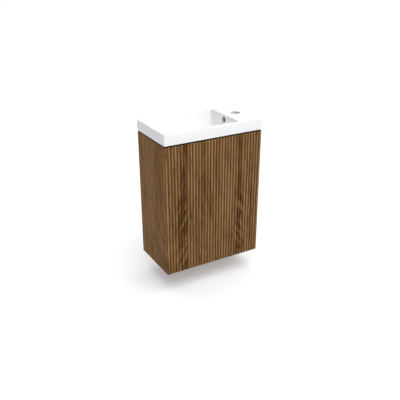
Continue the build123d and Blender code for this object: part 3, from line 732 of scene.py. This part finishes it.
def noise(tree, vector, scale, detail=2.0, roughness=0.5):
    """Noise of a scale over a vector, from 0 to 1."""
    made = add_node(
        tree,
        "ShaderNodeTexNoise",
        {"noise_dimensions": "3D"},
        {"Vector": vector, "Scale": scale, "Detail": detail, "Roughness": roughness},
    )
    return made.outputs["Fac"]


def stretched(tree, across, along, across_mm, along_mm, shift=0.0):
    """A vector that repeats a pattern every so many millimetres across and along the grain."""
    sideways = math_node(tree, "MULTIPLY", across, 1 / (across_mm * MM))
    lengthways = math_node(tree, "MULTIPLY", along, 1 / (along_mm * MM))
    moved = math_node(tree, "ADD", lengthways, shift)
    return add_node(tree, "ShaderNodeCombineXYZ", inputs={0: sideways, 1: moved, 2: shift}).outputs[0]


def rgba(colour, share=1.0):
    """A colour at a share of its brightness, with an alpha of one."""
    return (*(value * share for value in colour), 1.0)


def object_place(tree):
    """The shaded point, in the piece's own space."""
    return add_node(tree, "ShaderNodeTexCoord").outputs["Object"]


def axes_of(tree, vector):
    """The three parts of a vector, by the names X, Y and Z."""
    return add_node(tree, "ShaderNodeSeparateXYZ", inputs={0: vector}).outputs


def add_bump(tree, shader, strength, distance_mm, height):
    """Wires a bump into a shader."""
    inputs = {"Strength": strength, "Distance": distance_mm * MM, "Height": height}
    bump = add_node(tree, "ShaderNodeBump", inputs=inputs)
    tree.links.new(bump.outputs[0], shader.inputs["Normal"])


def walnut_foil(name, across_axis, fluted=False, along_axis="Z", shift=0.0, figures=()):
    """Walnut-look foil, printed and embossed, hot-pressed on board.

    A matt print: bands of light and dark growth rings that run with the grain, darker flame
    figures where the rings open out, and short fine pores pressed in as shallow ticks.
    """
    palette = colours()
    material, tree, shader = new_material(name)
    place = object_place(tree)
    axes = axes_of(tree, place)
    across = axes[across_axis]
    along = axes[along_axis]
    # Each pattern is stretched by two lengths in mm: across the grain and along it.
    # Rings wander sideways by a few millimetres over a few hundred millimetres of length.
    wander = noise(tree, stretched(tree, across, along, 90, 260, shift), 1.0, 2.0)
    wander_mm = math_node(tree, "MULTIPLY", math_node(tree, "SUBTRACT", wander, 0.5), 34 * MM)
    bent = math_node(tree, "ADD", across, wander_mm)
    broad = noise(tree, stretched(tree, bent, along, 38, 420, shift + 3.1), 1.0, 3.0, 0.55)
    rings = noise(tree, stretched(tree, bent, along, 6, 230, shift + 7.7), 1.0, 4.0, 0.65)
    slanted = math_node(tree, "MULTIPLY_ADD", across, 0.5, along)
    mottle = noise(tree, stretched(tree, bent, slanted, 6, 48, shift + 5.5), 1.0, 3.0, 0.65)
    fine = noise(tree, stretched(tree, bent, along, 1.1, 55, shift + 11.3), 1.0, 3.0, 0.7)
    pores = noise(tree, stretched(tree, bent, along, 0.55, 14, shift + 17.9), 1.0, 2.0, 0.6)
    tone = math_node(tree, "MULTIPLY_ADD", broad, 0.4, math_node(tree, "MULTIPLY", rings, 0.8))
    tone = math_node(tree, "MULTIPLY_ADD", fine, 0.6, tone)
    tone = math_node(tree, "MULTIPLY_ADD", mottle, 0.6, tone)
    tone = ramp(tree, tone, 0.90, 1.50)
    if figures:
        tone = math_node(tree, "SUBTRACT", tone, flame_figures(tree, across, along, figures), clamp=True)
    ground = mix_colour(tree, tone, rgba(palette.walnut_middle), rgba(palette.walnut_light))
    dark_share = ramp(tree, tone, 0.30, 0.0, 0.0, 0.62)
    ground = mix_colour(tree, dark_share, ground, rgba(palette.walnut_dark))
    pore_share = ramp(tree, pores, 0.58, 0.70, 0.0, 0.6)
    colour = mix_colour(tree, pore_share, ground, rgba(palette.walnut_dark))
    if fluted:
        # Painted light: a pale sheen and extra brightness on the crests, and painted shade in the grooves.
        groove_floor = door_low.y + sizes().flute_depth
        from_crest = math_node(tree, "SUBTRACT", axes["Y"], door_low.y)
        depth = math_node(tree, "DIVIDE", from_crest, sizes().flute_depth, clamp=True)
        depth = math_node(tree, "POWER", depth, 0.6)
        sheen_share = math_node(tree, "MULTIPLY", ramp(tree, depth, 0.55, 0.0, 0.0, CREST_SHEEN), tone)
        colour = mix_colour(tree, sheen_share, colour, rgba(palette.walnut_sheen))
        in_front = math_node(tree, "LESS_THAN", axes["Y"], groove_floor + 0.1 * MM)
        shade = blend(tree, in_front, 1.0, ramp(tree, depth, 0.1, 1.0, CREST_SHADE, GROOVE_SHADE))
        colour = add_node(
            tree, "ShaderNodeVectorMath", {"operation": "SCALE"}, {"Vector": colour, "Scale": shade}
        ).outputs[0]
    if along_axis == "Z":
        # Painted shade: the boards' top edges are near black, so the shadow gap under the basin reads dark.
        at_top = math_node(tree, "GREATER_THAN", axes["Z"], door_high.z - TOP_EDGE_SHADE_BAND)
        colour = mix_colour(tree, at_top, colour, rgba(palette.gap_shade))
    tree.links.new(colour, shader.inputs["Base Color"])
    shader.inputs["IOR"].default_value = 1.47
    shader.inputs["Specular IOR Level"].default_value = 0.05
    gloss = ramp(tree, rings, 0.2, 0.8, 0.46, 0.58)
    tree.links.new(gloss, shader.inputs["Roughness"])
    pressed = math_node(tree, "MULTIPLY", pore_share, -1.0)
    raised = math_node(tree, "ADD", pressed, math_node(tree, "MULTIPLY", fine, 0.35))
    add_bump(tree, shader, 0.35, 0.12, raised)
    return material


def flame_figures(tree, across, along, figures):
    """How much the flame figures darken a board.

    A figure is a bell curve across the grain, steep on one flank and slow on the other.  Slanted
    strokes break it up round the heart and thin out to a plain dark streak above.
    """
    total = None
    from_heart = math_node(tree, "ABSOLUTE", math_node(tree, "SUBTRACT", along, FIGURE_HEART))
    near_heart = ramp(tree, from_heart, 0.20, 0.09)
    spread = math_node(tree, "MULTIPLY_ADD", near_heart, 0.8, 0.7)
    for middle, left_mm, right_mm, strength, slope in figures:
        drift = noise(tree, stretched(tree, across, along, 300, 110, middle * 50), 1.0, 1.0)
        moved = math_node(tree, "MULTIPLY", math_node(tree, "SUBTRACT", drift, 0.5), 7 * MM)
        offset = math_node(tree, "ADD", math_node(tree, "SUBTRACT", across, middle), moved)
        left_share = math_node(tree, "MAXIMUM", math_node(tree, "DIVIDE", offset, -left_mm * MM), 0.0)
        right_share = math_node(tree, "MAXIMUM", math_node(tree, "DIVIDE", offset, right_mm * MM), 0.0)
        share = math_node(tree, "DIVIDE", math_node(tree, "ADD", left_share, right_share), spread)
        square = math_node(tree, "MULTIPLY", share, share)
        bell = math_node(tree, "EXPONENT", math_node(tree, "MULTIPLY", square, -1.0))
        height = math_node(tree, "MULTIPLY_ADD", offset, slope, along)
        strokes = noise(tree, stretched(tree, across, height, 70, 25, middle * 90), 1.0, 2.0, 0.4)
        strokes = ramp(tree, strokes, 0.40, 0.57, 0.05, 1.0)
        broken = blend(tree, near_heart, 0.8, strokes)
        figure = math_node(tree, "MULTIPLY", math_node(tree, "MULTIPLY", bell, broken), strength)
        total = figure if total is None else math_node(tree, "ADD", total, figure)
    return total


def within(tree, value, low, high):
    """One where a value lies between two bounds, and zero elsewhere."""
    above = math_node(tree, "GREATER_THAN", value, low)
    return math_node(tree, "MULTIPLY", above, math_node(tree, "LESS_THAN", value, high))


def gel_coat():
    """Cast mineral resin with a polished white gel coat: deep gloss, with the faintest ripple."""
    material, tree, shader = new_material("white_gel_coat_on_cast_resin")
    place = object_place(tree)
    cloud = noise(tree, place, 9.0, 2.0)
    white = rgba(colours().basin)
    warm = tuple(value * share for value, share in zip(colours().basin, (0.985, 0.985, 0.98))) + (1.0,)
    coat = mix_colour(tree, ramp(tree, cloud, 0.3, 0.7), white, warm)
    # Painted shade: the resin is near black inside the overflow's duct and on the feet, so both read dark.
    overflow = mount_place("overflow")
    duct_left = basin_high.x - sizes().deck_width + sizes().bowl_wall
    axes = axes_of(tree, place)
    margin = 0.2 * MM
    in_x = within(tree, axes["X"], duct_left - margin, duct_left + DUCT_WIDTH + margin)
    in_y = within(tree, axes["Y"], overflow.y - DUCT_HALF - margin, overflow.y + DUCT_HALF + margin)
    below_deck = math_node(tree, "LESS_THAN", axes["Z"], basin_high.z - 7 * MM)
    in_duct = math_node(tree, "MULTIPLY", math_node(tree, "MULTIPLY", in_x, in_y), below_deck)
    from_middle = math_node(tree, "ABSOLUTE", axes["X"])
    at_side = math_node(tree, "GREATER_THAN", from_middle, basin_high.x - 2 * sizes().skirt)
    under_skirt = math_node(tree, "LESS_THAN", axes["Z"], basin_high.z - sizes().rim_height - 0.1 * MM)
    on_foot = math_node(tree, "MULTIPLY", at_side, under_skirt)
    painted_shade_share = math_node(tree, "MAXIMUM", in_duct, on_foot)
    coat = mix_colour(tree, painted_shade_share, coat, rgba(colours().duct_and_foot_shade))
    tree.links.new(coat, shader.inputs["Base Color"])
    haze = noise(tree, place, 55.0, 3.0)
    tree.links.new(ramp(tree, haze, 0.2, 0.8, 0.12, 0.19), shader.inputs["Roughness"])
    shader.inputs["IOR"].default_value = 1.5
    ripple = noise(tree, place, 70.0, 1.0)
    add_bump(tree, shader, 0.05, 0.1, ripple)
    return material


def plated(name, colour, rough_low, rough_high, grain_mm):
    """Plated steel: a bright metal whose fine tumbled grain spreads its highlights."""
    material, tree, shader = new_material(name)
    place = object_place(tree)
    grain = noise(tree, place, 1 / (grain_mm * MM), 3.0, 0.6)
    stain = noise(tree, place, 60.0, 2.0)
    tone = mix_colour(tree, ramp(tree, stain, 0.35, 0.7), rgba(colour), rgba(colour, 0.82))
    tree.links.new(tone, shader.inputs["Base Color"])
    tree.links.new(ramp(tree, grain, 0.25, 0.75, rough_low, rough_high), shader.inputs["Roughness"])
    shader.inputs["Metallic"].default_value = 1.0
    add_bump(tree, shader, 0.15, 0.03, grain)
    return material


def moulded(name, colour, roughness, grain_mm=0.6):
    """Moulded plastic: an even colour under the mould's fine spark-eroded grain."""
    material, tree, shader = new_material(name)
    place = object_place(tree)
    grain = noise(tree, place, 1 / (grain_mm * MM), 2.0)
    tone = mix_colour(tree, ramp(tree, grain, 0.3, 0.7), rgba(colour), rgba(colour, 0.93))
    tree.links.new(tone, shader.inputs["Base Color"])
    gloss = ramp(tree, grain, 0.2, 0.8, roughness - 0.05, roughness + 0.05)
    tree.links.new(gloss, shader.inputs["Roughness"])
    shader.inputs["IOR"].default_value = 1.49
    add_bump(tree, shader, 0.2, 0.04, grain)
    return material


def bare_beech():
    """Turned beech: pale, with short darker flecks along the dowel."""
    material, tree, shader = new_material("bare_turned_beech")
    place = object_place(tree)
    axes = axes_of(tree, place)
    flecks = noise(tree, stretched(tree, axes["Z"], axes["X"], 0.8, 6), 1.0, 2.0)
    beech = colours().beech
    tone = mix_colour(tree, ramp(tree, flecks, 0.5, 0.7), rgba(beech), rgba(beech, 0.6))
    tree.links.new(tone, shader.inputs["Base Color"])
    shader.inputs["Roughness"].default_value = 0.7
    return material


# Boards and fittings that keep their CAD shape


def ease_edges(node, width):
    """Joins a CAD node's triangles into whole flats, eases its sharp edges and fairs its shading."""
    piece = frame["nodes"][node]
    weld = piece.modifiers.new("weld", "WELD")
    weld.merge_threshold = 1e-6
    flats = piece.modifiers.new("whole_flats", "DECIMATE")
    flats.decimate_type = "DISSOLVE"
    flats.angle_limit = math.radians(1)
    if width > 0:
        bevel = piece.modifiers.new("eased_edges", "BEVEL")
        bevel.width = width
        bevel.segments = BEVEL_STEPS
        bevel.limit_method = "ANGLE"
        bevel.angle_limit = math.radians(35)
    faired = piece.modifiers.new("faired_normals", "WEIGHTED_NORMAL")
    faired.keep_sharp = True
    smooth = np.ones(len(piece.data.polygons), bool)
    piece.data.polygons.foreach_set("use_smooth", smooth)
    return piece


def dress(nodes, material, width=0.0):
    """Gives CAD nodes a material and eased edges."""
    for node in nodes:
        coat(ease_edges(node, width), material)


class VANITY_OT_boards(bpy.types.Operator):
    """Gives the cabinet's boards their walnut foil, with the grain upright on the sides."""

    bl_idname = "vanity.boards"
    bl_label = "Cabinet boards"

    def execute(self, context):
        ease = sizes().arris
        left = walnut_foil("walnut_foil_on_left_side", "Y", shift=2.0, figures=SIDE_FIGURES)
        right = walnut_foil("walnut_foil_on_right_side", "Y", shift=5.0, figures=SIDE_FIGURES)
        dress(["side_panel_left"], left, ease)
        dress(["side_panel_right"], right, ease)
        dress(["edge_bands"], walnut_foil("walnut_edge_band", "X", shift=9.0), 0.2 * MM)
        dress(["shelf"], walnut_foil("walnut_foil_on_shelf", "Y", along_axis="X", shift=13.0), ease)
        dress(["bottom_panel"], walnut_foil("walnut_foil_on_bottom", "Y", along_axis="X", shift=17.0), ease)
        rails = ["back_rail_bottom", "back_rail_top"]
        dress(rails, walnut_foil("walnut_foil_on_rails", "Z", along_axis="X", shift=23.0), ease)
        return {"FINISHED"}


class VANITY_OT_fittings(bpy.types.Operator):
    """Gives hinges, hangers, latch, screws and dowels their metals, plastics and wood."""

    bl_idname = "vanity.fittings"
    bl_label = "Fittings"

    def execute(self, context):
        palette = colours()
        # Satin nickel: softly grained, warm and fairly matt.
        nickel = plated("satin_nickel_plated_steel", palette.nickel, 0.26, 0.38, 0.8)
        # Bright zinc: cooler, with mixed dull and bright patches.
        zinc = plated("bright_zinc_plated_steel", palette.zinc, 0.30, 0.48, 1.2)
        ends = ("bottom", "top")
        sides = ("left", "right")
        hinge_parts = [f"hinge_{part}_{end}" for part in ("cup", "arm", "plate", "cover") for end in ends]
        dress(hinge_parts, nickel, 0.25 * MM)
        dress(["shelf_pins", "strike_plate"], nickel, 0.3 * MM)
        dress([f"hinge_pin_{end}" for end in ends], zinc)
        steel_parts = [f"{part}_{side}" for part in ("wall_plate", "hanger_hook") for side in sides]
        dress(steel_parts, zinc, 0.4 * MM)
        screws = ["hanger_screws", "hanger_adjusters", "hinge_cup_screws", "hinge_plate_screws"]
        screws += ["hinge_arm_screws", "latch_screws", "strike_plate_screw", "cam_bolts", "cam_locks"]
        dress(screws, zinc, 0.15 * MM)
        nylon = moulded("moulded_white_nylon", palette.white_plastic, 0.42)
        dress([f"hanger_{part}_{side}" for part in ("body", "cover") for side in sides], nylon, 0.4 * MM)
        acetal = moulded("moulded_grey_acetal", palette.grey_plastic, 0.36)
        dress(["push_latch_body", "push_latch_plunger"], acetal, 0.3 * MM)
        dress(["dowels"], bare_beech())
        # Silicone, soft and slightly shiny, coloured near black as painted shade for the gap under the basin.
        dress(["basin_seal"], moulded("dark_silicone_sealant", palette.gap_shade, 0.3, 4.0))
        # Polyurethane: clear in the sheet, a milky white in a dome of this size.
        bumper = moulded("soft_clear_polyurethane", palette.white_plastic, 0.25, 3.0)
        dress(["door_bumpers"], bumper, 0.2 * MM)
        return {"FINISHED"}


# Stage


class VANITY_OT_stage(bpy.types.Operator):
    """Sets the camera, the pale floor, the world light and the soft lamps."""

    bl_idname = "vanity.stage"
    bl_label = "Stage"

    def execute(self, context):
        self.add_camera(context)
        self.add_floor()
        self.add_world(context)
        self.add_lamps(context)
        context.scene.view_settings.view_transform = "Standard"
        return {"FINISHED"}

    def add_camera(self, context):
        view = bpy.data.cameras.new("camera")
        view.sensor_width = 36.0
        view.lens = CAMERA_LENS
        camera = bpy.data.objects.new("camera", view)
        camera.location = CAMERA_PLACE
        camera.rotation_euler = (math.radians(CAMERA_TILT), 0.0, math.radians(CAMERA_TURN))
        context.scene.collection.objects.link(camera)
        context.scene.camera = camera

    def add_floor(self):
        """A wide flat square, a little way under the cabinet."""
        level = door_low.z - sizes().floor_gap
        share = np.linspace(-FLOOR_REACH, FLOOR_REACH, FLOOR_POINTS)
        x, y = np.meshgrid(share, share, indexing="xy")
        points = np.stack([x, y, np.full(x.shape, level)], axis=-1)
        faces = grid_faces(FLOOR_POINTS, FLOOR_POINTS, closed_columns=False)
        floor = new_mesh_object("floor", points, faces)
        floor.data.flip_normals()
        floor.data.materials.append(studio_floor())

    def add_world(self, context):
        """Light from the front and right, strongest low down; even in reflections, white to the camera."""
        world = bpy.data.worlds.new("studio")
        world.use_nodes = True
        tree = world.node_tree
        tree.nodes.clear()
        direction = add_node(tree, "ShaderNodeTexCoord").outputs["Generated"]
        axes = axes_of(tree, direction)
        from_front = math_node(tree, "MAXIMUM", math_node(tree, "MULTIPLY", axes["Y"], -WORLD_FRONT), 0.0)
        from_right = math_node(tree, "MAXIMUM", math_node(tree, "MULTIPLY", axes["X"], WORLD_RIGHT), 0.0)
        sideways = math_node(tree, "ADD", from_front, from_right)
        lowness = math_node(tree, "SUBTRACT", 1.0, axes["Z"], clamp=True)
        from_above = math_node(tree, "MULTIPLY", axes["Z"], WORLD_UP)
        light = math_node(tree, "MULTIPLY_ADD", sideways, lowness, from_above)
        light = math_node(tree, "MAXIMUM", light, 0.0)
        path = add_node(tree, "ShaderNodeLightPath").outputs
        reflected = blend(tree, path["Is Glossy Ray"], light, REFLECTED_LIGHT)
        strength = blend(tree, path["Is Camera Ray"], reflected, 1.0)
        background = add_node(
            tree, "ShaderNodeBackground", inputs={"Color": (1.0, 1.0, 1.0, 1.0), "Strength": strength}
        )
        add_node(tree, "ShaderNodeOutputWorld", inputs={"Surface": background.outputs[0]})
        context.scene.world = world

    def add_lamps(self, context):
        """Broad soft lamps overhead: the strongest in front, the others behind and to the right."""
        for name, place, energy in LAMPS:
            light = bpy.data.lights.new(name, "SUN")
            light.energy = energy
            light.angle = math.radians(LAMP_SPREAD)
            lamp = bpy.data.objects.new(name, light)
            lamp.rotation_euler = Vector(place).to_track_quat("Z", "Y").to_euler()
            context.scene.collection.objects.link(lamp)


def studio_floor():
    """Matt white studio paper that keeps the unit's shadow."""
    material, tree, shader = new_material("matt_white_studio_paper")
    place = object_place(tree)
    fibre = noise(tree, place, 3.0, 2.0)
    paper = colours().floor
    tone = mix_colour(tree, fibre, rgba(paper), rgba(paper, 0.99))
    tree.links.new(tone, shader.inputs["Base Color"])
    shader.inputs["Roughness"].default_value = 1.0
    shader.inputs["Specular IOR Level"].default_value = 0.0
    shader.inputs["Emission Color"].default_value = (1.0, 1.0, 1.0, 1.0)
    seen = add_node(tree, "ShaderNodeLightPath").outputs["Is Camera Ray"]
    tree.links.new(math_node(tree, "MULTIPLY", seen, FLOOR_GLOW), shader.inputs["Emission Strength"])
    return material


class VANITY_PT_panel(bpy.types.Panel):
    """Lists the unit's pieces, sizes and colours."""

    bl_label = "Vanity unit"
    bl_idname = "VANITY_PT_panel"
    bl_space_type = "VIEW_3D"
    bl_region_type = "UI"
    bl_category = "Vanity"

    def draw(self, context):
        column = self.layout.column()
        for operator in OPERATORS:
            column.operator(operator.bl_idname)
        for group in (context.scene.vanity_sizes, context.scene.vanity_colours):
            for name in group.__annotations__:
                column.prop(group, name)


OPERATORS = (VANITY_OT_stage, VANITY_OT_basin, VANITY_OT_door, VANITY_OT_boards, VANITY_OT_fittings)
CLASSES = (VanitySizes, VanityColours, *OPERATORS, VANITY_PT_panel)


def register():
    for made in CLASSES:
        bpy.utils.register_class(made)
    bpy.types.Scene.vanity_sizes = bpy.props.PointerProperty(type=VanitySizes)
    bpy.types.Scene.vanity_colours = bpy.props.PointerProperty(type=VanityColours)


def unregister():
    del bpy.types.Scene.vanity_colours
    del bpy.types.Scene.vanity_sizes
    for made in reversed(CLASSES):
        bpy.utils.unregister_class(made)


def main():
    register()
    bpy.ops.vanity.stage()
    bpy.ops.vanity.basin()
    bpy.ops.vanity.door()
    bpy.ops.vanity.boards()
    bpy.ops.vanity.fittings()


if __name__ == "__main__":
    main()
